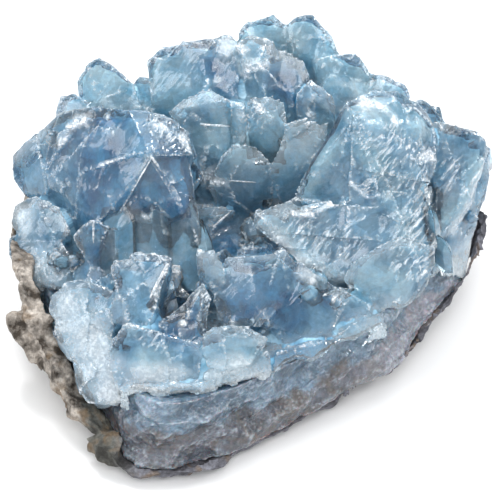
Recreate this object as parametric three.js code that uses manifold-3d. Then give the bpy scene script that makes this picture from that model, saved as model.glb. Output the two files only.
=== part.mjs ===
// Celestite geode: a broken piece of a geode's wall, lying with its crystals up.
// A rind of host rock carries a bed of fine-grained celestite, and big blue crystals stand on that bed,
// round a hollow. Millimetres, +Z up, -Y towards the broken front wall.
import * as THREE from 'three';
import { ConvexGeometry } from 'three/addons/geometries/ConvexGeometry.js';
import { ImprovedNoise } from 'three/addons/math/ImprovedNoise.js';
import { mergeVertices } from 'three/addons/utils/BufferGeometryUtils.js';
import Module from 'manifold-3d';

const wasm = await Module();
wasm.setup();

// Driving dimensions
const WIDTH = 92;            // the whole piece, from side to side
const SEAT = 0.3;            // clearance between two pieces that touch
const HOLLOW = [-2, 8];      // the middle of the hollow, in plan
const HOLLOW_FLOOR = 11;     // height of the bed's top there
const SHEET_THICKNESS = 2.2; // the layer of crystal that the crystals grow from
const WALL_STEPS = 50;       // points round the rock and the bed

// ---------------------------------------------------------------- solids

const noise = new ImprovedNoise();

// Lumps of about the given size, from -1 to 1.
function lumps(x, y, z, size) {
  return noise.noise(x / size + 31.7, y / size + 11.3, z / size + 5.9) * 1.6;
}

// Repeatable random numbers between two values.
THREE.MathUtils.seededRandom(4207);
function between(low, high) {
  return low + (high - low) * THREE.MathUtils.seededRandom();
}

// A closed three.js geometry as a solid that can be joined and cut.
function solidOf(geometry) {
  const bare = new THREE.BufferGeometry();
  bare.setAttribute('position', geometry.getAttribute('position'));
  bare.setIndex(geometry.getIndex());
  const merged = mergeVertices(bare, 1e-4);
  return new wasm.Manifold(new wasm.Mesh({
    numProp: 3,
    vertProperties: new Float32Array(merged.getAttribute('position').array),
    triVerts: new Uint32Array(merged.getIndex().array),
  }));
}

function geometryOf(solid) {
  const mesh = solid.getMesh();
  const geometry = new THREE.BufferGeometry();
  geometry.setAttribute('position', new THREE.BufferAttribute(mesh.vertProperties, 3));
  geometry.setIndex(new THREE.BufferAttribute(mesh.triVerts, 1));
  return geometry;
}

function joined(solids) {
  return solids.reduce((whole, next) => whole.add(next));
}

// The flat-faced solid that spans some corners. margin moves every face outwards.
const WAYS = [[1, 0, 0], [-1, 0, 0], [0, 1, 0], [0, -1, 0], [0, 0, 1], [0, 0, -1]]
  .map((way) => new THREE.Vector3(...way));
function block(corners, margin = 0) {
  const points = corners.map((corner) => new THREE.Vector3(...corner));
  const reach = margin * Math.sqrt(3);
  const grown = points.flatMap((point) => WAYS.map((way) => point.clone().addScaledVector(way, reach)));
  return solidOf(new ConvexGeometry(margin > 0 ? grown : points));
}

// A closed skin over rings of points, with one point under the first ring and one over the last.
function loft(rings, bottom, top) {
  const steps = rings[0].length;
  const points = [bottom, ...rings.flat(), top];
  const faces = [];
  const at = (ring, step) => 1 + ring * steps + (step % steps);
  for (let step = 0; step < steps; step += 1) {
    faces.push(0, at(0, step + 1), at(0, step));
    for (let ring = 0; ring + 1 < rings.length; ring += 1) {
      const [a, b] = [at(ring, step), at(ring, step + 1)];
      const [c, d] = [at(ring + 1, step + 1), at(ring + 1, step)];
      faces.push(a, b, c, a, c, d);
    }
    faces.push(at(rings.length - 1, step), at(rings.length - 1, step + 1), points.length - 1);
  }
  const geometry = new THREE.BufferGeometry();
  geometry.setAttribute('position', new THREE.Float32BufferAttribute(points.flat(), 3));
  geometry.setIndex(faces);
  return solidOf(geometry);
}

// ---------------------------------------------------------------- outlines in plan

// Each outline runs counterclockwise from the front left corner, its points side by side with the others'.
const BASE_OUTLINE = [
  [-18, -33.5], [-11, -34], [-1, -27.5], [9, -19.5], [18, -11], [24, -1], [27, 8], [26, 17], [20, 23],
  [9, 25], [-3, 25], [-14, 23.5], [-22, 18], [-27, 9], [-29, -1], [-29, -11], [-26, -20], [-22, -29],
];
const RIND_OUTLINE = [
  [-23.5, -36], [-12, -37.5], [2, -30], [14, -22], [27, -12.5], [38, 2.5], [44.5, 14.5], [45.5, 25],
  [38, 32], [20, 36.5], [0, 38], [-20, 36.5], [-35, 31], [-43, 20], [-44.5, 4], [-44, -8], [-39, -19],
  [-30.5, -28],
];
const BED_OUTLINE = [
  [-21, -37], [-12, -38], [2, -31], [14, -23], [27, -13], [38, 2.5], [44, 14], [44, 24.5], [36, 31.5],
  [19, 35.5], [0, 36.5], [-19, 35], [-33, 29], [-40.5, 18], [-42, 4], [-40.5, -7], [-34.5, -18],
  [-26.5, -28],
];
// At the same points: heights of the rind's rim, of the bed's underside at its edge and of its upper edge.
const RIND_RIM = [4, 4, 5, 6, 7, 9, 13, 17, 17, 16, 16, 17, 19, 21, 22.5, 22, 15, 8];
const BED_UNDERSIDE = [3, 3, 3.5, 4.5, 5.5, 7, 10, 13, 13, 12.5, 12.5, 13, 14, 15, 14.5, 12, 8, 5];
const BED_EDGE = [17, 17.5, 17.5, 16.5, 15.5, 15, 17, 21, 24, 26, 26, 26, 24, 21, 18.5, 17, 16, 16];

// A smooth closed line through an outline's points. share runs from 0 to 1 round the piece.
function around(outline) {
  const points = outline.map(([x, y]) => new THREE.Vector3(x, y, 0));
  const curve = new THREE.CatmullRomCurve3(points, true, 'centripetal');
  return (share) => curve.getPoint(share % 1);
}
function heightAround(heights) {
  return (share) => {
    const place = (share % 1) * heights.length;
    const low = Math.floor(place);
    const mix = THREE.MathUtils.smoothstep(place - low, 0, 1);
    return THREE.MathUtils.lerp(heights[low % heights.length], heights[(low + 1) % heights.length], mix);
  };
}

const baseLine = around(BASE_OUTLINE);
const rindLine = around(RIND_OUTLINE);
const bedLine = around(BED_OUTLINE);
const rindRim = heightAround(RIND_RIM);
const bedUnderside = heightAround(BED_UNDERSIDE);
const bedEdge = heightAround(BED_EDGE);

function ring(place) {
  return Array.from({ length: WALL_STEPS }, (_, step) => place(step / WALL_STEPS));
}

// A point over or in the bed: reach is 0 at the hollow's middle and 1 at the bed's edge.
function inBed(share, reach, z) {
  const edge = bedLine(share);
  return [THREE.MathUtils.lerp(HOLLOW[0], edge.x, reach), THREE.MathUtils.lerp(HOLLOW[1], edge.y, reach), z];
}

// Height of the bed's dished top.
function dishHeight(share, reach) {
  return THREE.MathUtils.lerp(HOLLOW_FLOOR, bedEdge(share), reach ** 1.6);
}

// ---------------------------------------------------------------- bed

const UNDERSIDE_MIDDLE = 5;
const SIDE_INSET = 0.03;     // how far in from its outline the bed's side starts, as a share of the plan
const SIDE_LEAN = 0.05;      // how much further in it is at the top
const STEEP_SEAT = 2.5;      // the clearance over the steep upper edge, in seats
const SIDE_RISES = [0, 0.17, 0.34, 0.5, 0.66, 0.83, 1];

// A ring on the bed's rounded underside, a margin below it.
function bedUnder(reach, margin) {
  return ring((share) => (
    inBed(share, reach, THREE.MathUtils.lerp(UNDERSIDE_MIDDLE, bedUnderside(share), reach ** 2) - margin)
  ));
}

// The bed, lying in the rind and dished on top. Above the rind its side lies a depth in from its outline.
// The whole is grown by a margin, more at the steep upper edge.
function bedForm(margin, depth) {
  const side = (share, rise) => {
    const edge = bedLine(share);
    const z = THREE.MathUtils.lerp(bedUnderside(share) - margin, bedEdge(share) + STEEP_SEAT * margin, rise);
    const outwards = new THREE.Vector2(edge.x, edge.y).normalize();
    const slope = 1 - SIDE_INSET - SIDE_LEAN * rise;
    const bare = THREE.MathUtils.smoothstep(z, rindRim(share) - 1, rindRim(share) + 2);
    const out = margin - bare * depth(edge.x * slope, edge.y * slope, z);
    return [edge.x * slope + outwards.x * out, edge.y * slope + outwards.y * out, z];
  };
  const top = (reach) => ring((share) => inBed(share, reach, dishHeight(share, reach) + margin));
  const rings = [
    bedUnder(0.6, margin),
    ...SIDE_RISES.map((rise) => ring((share) => side(share, rise))),
    ...[0.8, 0.45].map(top),
  ];
  return loft(rings, [...HOLLOW, UNDERSIDE_MIDDLE - margin], [...HOLLOW, HOLLOW_FLOOR + margin]);
}

// How deep the broken side lies at a place: a lower and an upper tier, with lumps and small pits.
const TIER = 10.5;
const TIER_DEPTH = 1.7;
function brokenDepth(x, y, z) {
  const along = Math.atan2(y, x) * 40;
  const tierTop = TIER + 2.2 * lumps(along, 0, 3, 14);
  const tier = TIER_DEPTH * THREE.MathUtils.smoothstep(z, tierTop - 0.8, tierTop + 0.8);
  return Math.max(0, 0.6 + tier + 1.0 * lumps(x, y, z * 1.5, 6) + 0.6 * lumps(x, y, z, 3));
}

// ---------------------------------------------------------------- crystals

// Big crystals and masses with flat faces: where each one's foot is, and then the corners that show.
// On the left: the great broad crystal, its dull end over the hollow, a wedge, and pale ones outside it.
const LEFT = [
  [[-26, 14, 14], [-35.5, 18.5, 42], [-29, 16, 46], [-22.5, 13, 47.5], [-16, 12.5, 46], [-11, 11.5, 43.5],
    [-10.5, 8.5, 40], [-18, 3, 44], [-23, 2, 34.5], [-28, 1.5, 30], [-33.5, 6, 30], [-39, 13, 33],
    [-38, 15.5, 38], [-38, 23, 31], [-20, 24, 32], [-9, 16, 28]],
  [[-16, 8, 13], [-18, 3.5, 43.5], [-11, 9, 41], [-10, 2.5, 33], [-9.5, -1.5, 27], [-16.5, -2, 26],
    [-22.5, -0.5, 27], [-25.5, 1.5, 29], [-23, 2, 34]],
  [[-28, 6, 18], [-33, 0.5, 27], [-29.5, 1, 31], [-24.5, -0.5, 30], [-24.5, -6, 21], [-26.5, -6, 19],
    [-28.5, -5.5, 20]],
  [[-35, 17, 18], [-45.5, 20.5, 30], [-43, 20, 34], [-37.5, 19.5, 38], [-35.5, 20, 41], [-38, 13.5, 32],
    [-37, 11, 28], [-43.5, 15, 26], [-45.5, 17, 27]],
  [[-36, 9, 12], [-44.5, 11.5, 25], [-40.5, 11, 28], [-35.5, 7, 29], [-33.5, 3, 26], [-35.5, 2.5, 23],
    [-42.5, 5, 22], [-45, 8, 23]],
  [[-35, 2, 10], [-45.5, 6.5, 21], [-42.5, 7, 23], [-35.5, 3, 24], [-32, -2, 22], [-33, -3.5, 19],
    [-38, -4.5, 18], [-43.5, 1.5, 17], [-45.5, 5, 18]],
];
// Along the back, from left to right: pale blunt crystals with a few deep blue ones among them.
const BACK = [
  [[-32, 24, 18], [-37, 26.5, 34], [-36, 29, 37], [-33.5, 29.5, 38], [-30.5, 28.5, 37], [-31, 24, 33],
    [-36, 23, 32], [-35, 32, 33]],
  [[-27, 28, 18], [-33, 33, 38], [-31, 35, 40], [-29, 36, 41], [-26.5, 35, 40.5], [-22, 30.5, 39],
    [-21, 27, 36], [-28.5, 26.5, 34], [-33, 29, 34], [-30, 38, 36], [-24, 35, 35]],
  [[-13, 28, 18], [-19.5, 31, 44], [-16.5, 32.5, 46.5], [-11.5, 33.5, 47], [-7, 34, 46.5], [-7, 29.5, 41],
    [-10, 27.5, 38], [-16, 26, 37], [-19, 26.5, 39], [-17, 36.5, 42], [-8, 38, 42]],
  [[-5, 27, 18], [-7.5, 34.5, 46], [-4, 35.5, 47], [-2, 34, 46], [-2, 27, 38], [-5.5, 27.5, 38],
    [-8.5, 29, 41], [-8.5, 32, 44], [-4, 39.5, 42]],
  [[3, 26, 20], [-2.5, 33, 47], [0, 34, 48], [4.5, 33, 48], [6, 31, 46], [3.5, 29.5, 45], [-1, 30, 45],
    [7.5, 28, 41], [2.5, 26, 41]],
  [[3, 31, 22], [-2.5, 36, 47], [0, 37.5, 48.5], [4.5, 39.5, 49.5], [6.5, 38.5, 48], [7.5, 37, 46],
    [2, 35.5, 46], [0, 41, 43], [6, 42, 43]],
  [[8, 26, 20], [3, 31.5, 46], [6.5, 32, 47], [10.5, 30.5, 45], [11.5, 28.5, 43], [8, 26, 40],
    [5.5, 27, 41]],
  [[12, 29, 20], [6.5, 38.5, 47], [9, 38.5, 49.5], [12, 39, 49.5], [13.5, 37, 47.5], [15.5, 36, 45],
    [17, 34.5, 43], [12, 33.5, 43], [7.5, 35, 45], [9, 42.5, 44], [15, 40, 41]],
  [[18, 26, 18], [12, 33, 43], [17, 32.5, 45], [20, 32.5, 45], [22, 31.5, 43], [23, 30.5, 41.5],
    [20, 28.5, 38], [14.5, 29, 39], [12, 31, 41], [16, 37, 40], [23, 35, 37]],
  [[26, 22, 18], [22, 31, 41.5], [25.5, 30.5, 41], [29.5, 29.5, 39.5], [30.5, 28.5, 38], [26.5, 26, 35],
    [21, 26.5, 36], [25, 34.5, 37], [31, 31.5, 35]],
  [[14, 22, 16], [8.5, 25, 41], [11.5, 27.5, 43], [16, 23.5, 42], [16.5, 22.5, 39], [13, 23, 36],
    [9, 24, 37]],
];
// Down the back of the hollow, and in it.
const MIDDLE = [
  [[-9, 22, 16], [-16, 23.5, 38], [-12.5, 25.5, 40], [-7.5, 26.5, 41.5], [-3.5, 24.5, 40], [-4, 23.5, 34],
    [-9.5, 23, 35], [-13.5, 23.5, 36]],
  [[-7, 20, 12], [-11.5, 24, 33], [-9.5, 23.5, 35], [-3.5, 23.5, 35], [-3, 22.5, 33], [-5.5, 21, 28],
    [-11, 20, 25]],
  [[-3, 26, 20], [-4, 24, 40], [-1.5, 23, 40], [-1, 21.5, 32], [-3, 21, 32], [-3.5, 28, 38], [-0.5, 28, 38]],
  [[3, 23, 16], [-0.5, 24, 41], [3, 24.5, 42], [6.5, 23.5, 41], [7, 21, 37], [5.5, 20.5, 31],
    [2.5, 20.5, 31], [0, 22, 35]],
  [[-1, 19, 10], [-4, 19, 33], [-1, 19.5, 34], [2, 19, 33], [4, 17.5, 30], [4.5, 16, 25], [1, 15, 24],
    [-5, 16, 23], [-8, 17.5, 24], [-6.5, 18.5, 28]],
  [[11, 17, 13], [7, 20.5, 38], [9.5, 20.5, 39], [15, 19.5, 39], [14, 17.5, 35], [9, 15.5, 28],
    [5, 15.5, 26], [4, 17.5, 30]],
  [[-7, 15, 9], [-10.5, 16, 21], [-5.5, 15.5, 22], [-2.5, 15, 21], [-3.5, 14.5, 20], [-8, 11.5, 17],
    [-10, 13, 17]],
  [[1, 14, 8], [-2, 17, 16], [1.5, 16.5, 17], [2.5, 11.5, 14], [-1, 11, 13]],
];
// On the right: the great broken crystal in an upper and a lower mass, its plate over the hollow, the
// lobe that hangs from it, the wedge behind and the pale plate outside that.
const RIGHT = [
  [[24, 14, 12], [16.5, 13.5, 46], [18.5, 15.5, 48], [22.5, 17, 49], [27.5, 17.5, 48.5], [31.5, 17, 46.5],
    [34, 15.5, 43], [35, 13, 40], [34, 4.5, 36], [24, 4.5, 38], [17.5, 3, 32], [7.5, 6, 31], [9.5, 7.5, 35],
    [13.5, 9.5, 40], [17.5, 8.5, 47], [24, 8, 48.5], [31, 11, 46]],
  [[25, 4, 12], [9.5, 3.5, 32], [17.5, 3, 34], [28, 3.5, 36], [34, 4.5, 35], [35, -1, 26], [32.5, -4.5, 22],
    [17.5, -5.5, 21], [14, -5.5, 20.5], [8.5, -3.5, 24], [4, -0.5, 27], [4.5, 1, 30]],
  [[15, 4, 24], [1.5, 1, 32], [2, 1, 33.5], [7.5, 4, 33], [10, 2, 31], [9.5, -0.5, 28], [6.5, -2, 26],
    [3.5, -1, 28], [1.5, 0.5, 30]],
  [[28, 2, 14], [17, -8, 24], [18.5, -6.5, 27], [27.5, -3.5, 31], [34.5, -3, 28], [34.5, -4.5, 25],
    [31.5, -6.5, 20], [28, -8, 17.5], [24, -8.5, 16.5], [20.5, -8.5, 18]],
  [[37, 14, 12], [34, 16.5, 42], [37.5, 14.5, 40.5], [43, 16, 39], [44.5, 15.5, 37.5], [44.5, 14.5, 35.5],
    [40, 11.5, 29], [37, 7.5, 23], [35, 4, 21], [40, 20, 34]],
  [[38, 13, 10], [45, 19, 30], [46, 18, 27], [44, 15, 22], [40.5, 10, 16.5], [37, 4.5, 15], [34, 0.5, 16],
    [36, 14, 28]],
];
// Along the front: two upright crystals with a knob, a broad lobe under them, blunt blocks to the right
// of them, and white lumps at the left end.
const FRONT = [
  [[-19, -8, 10], [-24.5, -14.5, 34], [-20, -14, 36], [-14, -15, 36], [-18, -22.5, 27], [-21, -23, 24],
    [-25, -19, 24]],
  [[-12, -12, 10], [-11.5, -18, 28], [-8.5, -16, 31], [-7, -19, 29], [-8, -23.5, 22], [-15.5, -23.5, 22],
    [-16.5, -21.5, 25]],
  [[-8, -7, 12], [-9.5, -13, 36], [-6.5, -13, 36.5], [-4.5, -15, 33], [-4.5, -16, 30], [-7, -16, 28],
    [-9.5, -14, 31]],
  [[-16, -16, 8], [-25, -24, 24], [-22.5, -23, 27], [-18, -24.5, 26], [-9, -26, 25], [-8.5, -26.5, 23],
    [-9.5, -28.5, 18], [-20, -28.5, 17], [-24, -29.5, 17], [-26, -27, 20]],
  [[-2, -16, 10], [-9, -26.5, 27], [-7, -26, 29], [0, -25, 28], [3.5, -26, 26], [1, -27.5, 23],
    [-1, -28, 20.5], [-3.5, -28.5, 20], [-7.5, -28, 21], [-9, -27, 24]],
  [[2, -8, 10], [-4.5, -12.5, 33.5], [0, -12.5, 34], [6.5, -10, 33], [9, -10.5, 29], [6.5, -15, 25],
    [2, -20.5, 23], [-5, -20.5, 23], [-7, -17, 27]],
  [[12, -8, 8], [6, -9.5, 29], [9, -10, 30], [16.5, -12, 26], [17.5, -12.5, 23], [15, -17, 18],
    [6.5, -18.5, 18], [2.5, -18.5, 22]],
  [[20, -6, 8], [16, -11, 25], [22.5, -11, 20], [21.5, -12, 17], [16.5, -14.5, 15], [24, -5, 18]],
  [[-28, -10, 8], [-36.5, -12.5, 24], [-34, -12.5, 27], [-29.5, -12.5, 28], [-25, -14.5, 27],
    [-25, -18.5, 24], [-28.5, -20, 21], [-34, -17.5, 20], [-36.5, -14.5, 21]],
  [[-26, -15, 8], [-35.5, -17, 20], [-31, -17.5, 23], [-25, -19.5, 23], [-25, -23, 20], [-28, -25.5, 17],
    [-32.5, -22.5, 16], [-34.5, -18.5, 17]],
  [[-23, -20, 6], [-33, -22, 17], [-28.5, -22.5, 19.5], [-23.5, -26, 18.5], [-22, -29, 15.5],
    [-25, -30, 13], [-29.5, -28.5, 12], [-32, -24, 13]],
];
// Low ledges that step down to the broken front edge, from left to right.
const LEDGES = [
  [[-14, -24, 12], [-23.5, -30, 17.5], [-15.5, -29.5, 18], [-8.5, -29.5, 18.5], [-8, -31, 14],
    [-15.5, -32.5, 14], [-23.5, -31.5, 14]],
  [[-2, -20, 12], [-8.5, -28.5, 19.5], [-2, -26, 21], [3.5, -24.5, 21.5], [4, -27, 15], [-2, -30, 15],
    [-8, -30.5, 15.5]],
  [[10, -14, 11], [4.5, -24, 20.5], [11, -20, 19], [15.5, -18, 18], [17, -19, 14], [10, -24, 13],
    [4, -26.5, 14]],
  [[20, -8, 11], [15.5, -18, 18.5], [20.5, -14.5, 20], [25, -11.5, 19], [25.5, -13, 15], [17.5, -19, 14]],
];

// The plan of a foot, as a share of the plan of the corners over it.
const FOOT_SHARE = 0.5;

function withFoot([foot, ...corners], margin = 0) {
  const plan = new THREE.Box3().setFromPoints(corners.map((corner) => new THREE.Vector3(...corner)));
  const half = plan.getSize(new THREE.Vector3()).multiplyScalar(FOOT_SHARE / 2);
  const root = [[-1, -1], [1, -1], [1, 1], [-1, 1]]
    .map(([x, y]) => [foot[0] + x * half.x, foot[1] + y * half.y, foot[2]]);
  return block([...corners, ...root], margin);
}

// A small crystal with five sides and a wedge-shaped end.
function smallCrystal(foot, tip, wide, thick, turn) {
  const axis = tip.clone().sub(foot).normalize();
  const side = new THREE.Vector3(Math.cos(turn), Math.sin(turn), 0).projectOnPlane(axis).normalize();
  const broad = axis.clone().cross(side);
  const corner = (along, across, deep) => foot.clone().lerp(tip, along)
    .addScaledVector(side, across * wide / 2)
    .addScaledVector(broad, deep * thick / 2)
    .toArray();
  const girdle = [[-1, 0], [-0.4, -1], [0.8, -0.8], [0.8, 0.8], [-0.4, 1]];
  const shoulder = between(0.6, 0.8);
  return [
    foot.toArray(),
    ...girdle.map(([across, deep]) => corner(shoulder + between(-0.07, 0.07), across, deep)),
    corner(1, -0.45, between(-0.3, 0.3)),
    corner(between(0.9, 1), 0.4, between(-0.3, 0.3)),
  ];
}

// A row of small crystals outside the big ones, between two shares of the way round, leaning outwards.
function outerRow({ from, to, count, reach, sink, long, lean, wide }) {
  return Array.from({ length: count }, (_, index) => {
    const share = THREE.MathUtils.lerp(from, to, (index + between(0.2, 0.8)) / count);
    const edge = bedLine(share);
    const foot = new THREE.Vector3(edge.x * reach, edge.y * reach, bedEdge(share) - sink);
    const way = new THREE.Vector3(edge.x, edge.y, 0).setLength(between(...lean));
    way.add(new THREE.Vector3(between(-0.3, 0.3), between(-0.3, 0.3), 1)).normalize();
    const tip = foot.clone().addScaledVector(way, between(...long));
    return smallCrystal(foot, tip, between(...wide), between(...wide) * 0.8, between(0, Math.PI));
  });
}
const OUTER = [
  ...outerRow({
    from: 0.4, to: 0.7, count: 10, reach: 0.88, sink: 5, long: [12, 17], lean: [0.5, 0.9], wide: [10, 14],
  }),
  ...outerRow({
    from: 0.42, to: 0.66, count: 5, reach: 0.76, sink: 4, long: [18, 22], lean: [0.1, 0.3], wide: [11, 14],
  }),
];

// Crystals of middling size in the valley behind the front row, from left to right, by where they stand.
const VALLEY_PLACES = [
  [-29, -5], [-22, -3], [-14, -5], [-6, -3], [1, -1], [8, -3], [15, -1], [-18, -8], [-26, -9], [26, 21],
];
const VALLEY = VALLEY_PLACES.map(([x, y]) => {
  const foot = new THREE.Vector3(x, y, HOLLOW_FLOOR + 1);
  const tip = new THREE.Vector3(x + between(-2, 2), y + between(1, 4), between(22, 25));
  return smallCrystal(foot, tip, between(9, 12), between(8, 10), between(0, Math.PI));
});

// Small ones that cover the floor of the hollow, lowest in its middle.
const FLOOR_COUNT = 8;
const FLOOR_REACH = 12;
const GOLDEN_ANGLE = Math.PI * (3 - Math.sqrt(5));
const FLOOR = Array.from({ length: FLOOR_COUNT }, (_, index) => {
  const share = Math.sqrt((index + 0.6) / FLOOR_COUNT);
  const turn = index * GOLDEN_ANGLE;
  const foot = new THREE.Vector3(Math.cos(turn), Math.sin(turn), 0).multiplyScalar(FLOOR_REACH * share);
  foot.add(new THREE.Vector3(...HOLLOW, HOLLOW_FLOOR - 1));
  const way = new THREE.Vector3(-Math.cos(turn) * 0.3, -Math.sin(turn) * 0.3, 1).normalize();
  const tip = foot.clone().addScaledVector(way, THREE.MathUtils.lerp(5, 10, share) + between(-1, 1.5));
  return smallCrystal(foot, tip, between(7, 9), between(6, 8), between(0, Math.PI));
});

const CRYSTALS = [...LEFT, ...BACK, ...MIDDLE, ...RIGHT, ...FRONT, ...LEDGES, ...OUTER, ...VALLEY, ...FLOOR];

// The layer of crystal over the bed that they all grow from.
function sheet() {
  const level = (reach, above) => ring((share) => inBed(share, reach, dishHeight(share, reach) + above));
  const rings = [level(0.84, -1), level(0.84, SHEET_THICKNESS)];
  return loft(rings, [...HOLLOW, HOLLOW_FLOOR - 1], [...HOLLOW, HOLLOW_FLOOR + SHEET_THICKNESS]);
}

// ---------------------------------------------------------------- host rock

const ABOVE_ALL = 60;

// What the bed and all over it leave open in the rind.
function rindOpening() {
  const wall = (height) => ring((share) => {
    const edge = bedLine(share);
    const outwards = new THREE.Vector2(edge.x, edge.y).normalize();
    const inset = 1 - SIDE_INSET;
    return [edge.x * inset + outwards.x * SEAT, edge.y * inset + outwards.y * SEAT, height(share)];
  });
  const rings = [bedUnder(0.6, SEAT), wall((share) => bedUnderside(share) - SEAT), wall(() => ABOVE_ALL)];
  return loft(rings, [...HOLLOW, UNDERSIDE_MIDDLE - SEAT], [...HOLLOW, ABOVE_ALL]);
}

const RIND_RISES = [0, 0.12, 0.33, 0.55, 0.78, 1];
const RIND_ROUND = 0.75;     // under 1, the rind widens fast near its foot
const BUMPS = [[1.7, 10], [1.1, 4.5]]; // how high, and how far apart

// The rind: a lump cut off flat underneath, its side bulging out to the rim.
function rindForm() {
  const side = (share, rise) => {
    const low = baseLine(share);
    const high = rindLine(share);
    const out = Math.sin(rise ** RIND_ROUND * Math.PI / 2);
    const z = rindRim(share) * rise;
    const x = THREE.MathUtils.lerp(low.x, high.x, out);
    const y = THREE.MathUtils.lerp(low.y, high.y, out);
    const outwards = new THREE.Vector2(x, y).normalize();
    const rough = BUMPS.reduce((sum, [high, apart]) => sum + high * lumps(x, y, z * 1.4, apart), 0);
    const bump = (rise === 0 ? 0.3 : 1) * rough;
    const drop = 1.2 * rise * lumps(x, y, 20, 6);
    return [x + outwards.x * bump, y + outwards.y * bump, z + drop];
  };
  const top = (reach) => ring((share) => {
    const edge = rindLine(share);
    return [edge.x * reach, edge.y * reach, rindRim(share) * 0.94 + 1.6 * lumps(edge.x, edge.y, 20, 5)];
  });
  const rings = [...RIND_RISES.map((rise) => ring((share) => side(share, rise))), top(0.95), top(0.7)];
  return loft(rings, [0, 0, 0], [0, 0, 12]);
}

// Knobs of rock that stand out of the rind, the biggest low down at the front left.
const ROCK_KNOBS = [
  [[-28.5, -34.5, 7], [-24.5, -36.5, 6.5], [-28.5, -35, 2.5], [-24.5, -36.5, 2], [-30.5, -31, 5.5],
    [-30, -31, 2], [-20, -28, 8], [-20, -28, 1]],
  [[-45.5, -10, 17], [-44, -13, 14], [-40.5, -17, 11], [-44.5, -7, 9], [-38, -14, 5], [-34, -6, 16],
    [-36, -14, 20]],
  [[27, -12.5, 5], [35, -2.5, 8], [31, -5.5, 3], [25, -12.5, 2.5], [26, -6, 7], [31, 4, 8]],
];

// ---------------------------------------------------------------- the three pieces

const envelope = bedForm(SEAT, () => 0);
const crust = joined([sheet(), ...CRYSTALS.map((corners) => withFoot(corners))]).subtract(envelope);
const bed = bedForm(0, brokenDepth).intersect(bedForm(0, () => 0));
const rind = joined([rindForm(), ...ROCK_KNOBS.map((corners) => block(corners))])
  .subtract(rindOpening())
  .subtract(joined(CRYSTALS.map((corners) => withFoot(corners, SEAT))));

function largestPart(solid) {
  return solid.decompose().reduce((most, next) => (next.volume() > most.volume() ? next : most));
}

function piece(name, solid, color, roughness) {
  const material = new THREE.MeshStandardMaterial({ color, roughness, metalness: 0 });
  const mesh = new THREE.Mesh(geometryOf(largestPart(solid)), material);
  mesh.name = name;
  return mesh;
}

const geode = new THREE.Group();
geode.add(piece('host_rock', rind, 0x8d857c, 0.9));
geode.add(piece('granular_bed', bed, 0xa9adbc, 0.7));
geode.add(piece('crystal_crust', crust, 0x9fc4de, 0.12));

// The whole is brought to its width, and stands with its middle over the origin.
const size = new THREE.Box3().setFromObject(geode);
const scale = WIDTH / (size.max.x - size.min.x);
const middle = size.getCenter(new THREE.Vector3()).multiplyScalar(scale);
geode.scale.setScalar(scale);
geode.position.set(-middle.x, -middle.y, 0);

export default geode;
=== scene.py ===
import bmesh
import bpy
import numpy as np
from mathutils import Euler, Matrix, Vector, noise
from mathutils.bvhtree import BVHTree


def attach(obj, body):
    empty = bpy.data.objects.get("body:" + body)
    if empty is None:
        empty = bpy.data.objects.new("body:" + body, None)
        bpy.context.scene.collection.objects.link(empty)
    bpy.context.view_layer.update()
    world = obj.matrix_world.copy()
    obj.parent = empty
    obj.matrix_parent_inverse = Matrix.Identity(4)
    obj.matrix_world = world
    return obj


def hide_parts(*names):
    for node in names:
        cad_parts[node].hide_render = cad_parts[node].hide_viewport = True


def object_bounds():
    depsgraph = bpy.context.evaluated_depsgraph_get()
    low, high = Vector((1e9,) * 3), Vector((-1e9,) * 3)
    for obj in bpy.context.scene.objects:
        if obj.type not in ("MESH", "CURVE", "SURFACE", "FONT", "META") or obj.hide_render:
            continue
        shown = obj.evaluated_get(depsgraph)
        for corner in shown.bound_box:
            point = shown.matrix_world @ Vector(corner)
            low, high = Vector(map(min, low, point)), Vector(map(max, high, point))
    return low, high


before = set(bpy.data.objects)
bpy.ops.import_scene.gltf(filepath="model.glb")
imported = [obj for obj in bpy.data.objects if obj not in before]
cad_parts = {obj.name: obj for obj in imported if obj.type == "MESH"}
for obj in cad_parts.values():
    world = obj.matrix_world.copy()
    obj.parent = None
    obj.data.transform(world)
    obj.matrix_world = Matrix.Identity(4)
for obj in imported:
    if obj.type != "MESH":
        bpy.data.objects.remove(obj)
cad_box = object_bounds()

# ------------------------------------------------------------------------------------------ host rock
# The rind is the marly limestone that the geode grew in. It was broken out with a hammer, so it is lumpy
# and pitted, and it is flat where it rests. The bed grew right on its hollow side, without a gap.

MM = 0.001
BOX_LOW = np.array(cad_box[0]) / MM
BOX_HIGH = np.array(cad_box[1]) / MM
WELD = 0.001
# The rock's mesh: sizes of its patterns, and how high each stands.
ROCK_VOXEL = 0.5
ROCK_LUMP = 8.0
ROCK_LUMP_HEIGHT = 0.9
ROCK_CHIP = 3.6
ROCK_CHIP_HEIGHT = 1.1
ROCK_GRIT = 1.2
ROCK_GRIT_HEIGHT = 0.3
ROCK_REST = 0.1
ROCK_REST_FADE = 0.5
# The rock's material: sizes of its patterns, and from where to where its colour changes.
ROCK_BLOTCH = 4.0
ROCK_GRAIN = 0.8
ROCK_GRAIN_DEPTH = 0.3
BROWN_TO_OLIVE = (-33, -30)
OLIVE_TO_SMOKY = (-26, -20)


def copy_of(node_name):
    """The CAD node's mesh as a new bmesh in millimetres, welded."""
    mesh = bmesh.new()
    mesh.from_mesh(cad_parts[node_name].data)
    bmesh.ops.transform(mesh, matrix=Matrix.Scale(1 / MM, 4), verts=mesh.verts)
    bmesh.ops.remove_doubles(mesh, verts=mesh.verts, dist=WELD)
    return mesh


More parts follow.
